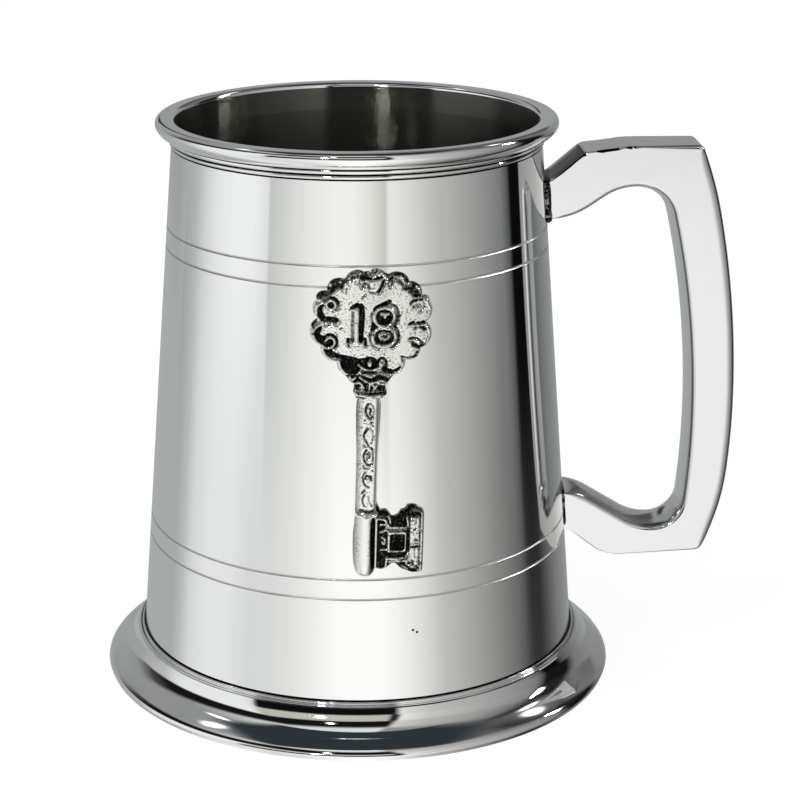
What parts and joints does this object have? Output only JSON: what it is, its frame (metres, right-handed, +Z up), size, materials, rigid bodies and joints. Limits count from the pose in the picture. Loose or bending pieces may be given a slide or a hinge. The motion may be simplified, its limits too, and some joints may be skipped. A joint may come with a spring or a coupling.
{
  "type": "pewter tankard",
  "caption": "Tapered pewter drinking tankard with a flared rim, spreading foot, cast angular handle and a cast key badge on the front.",
  "frame": {"origin": "on the axis of the barrel, at the level of the table under the foot", "axes": "+Z up along the axis of the barrel, +X towards the handle, the key badge faces -Y"},
  "size_m": [0.134, 0.109, 0.1193],
  "materials": {
    "polished_pewter": "polished pewter, buffed to a soft mirror",
    "satin_pewter": "spun pewter left satin inside",
    "antique_pewter": "cast pewter with blackened hollows and rubbed high spots",
    "solder": "dull soft solder at the joints"
  },
  "bodies": {
    "root": {"barrel": "polished_pewter", "rim_moulding": "polished_pewter", "rim_solder": "solder", "foot_ring": "polished_pewter", "foot_solder": "solder", "floor_disc": "satin_pewter", "floor_solder": "solder", "handle": "polished_pewter", "handle_upper_solder": "solder", "handle_lower_solder": "solder", "key_badge": "antique_pewter", "badge_solder": "solder"}
  },
  "joints": []
}
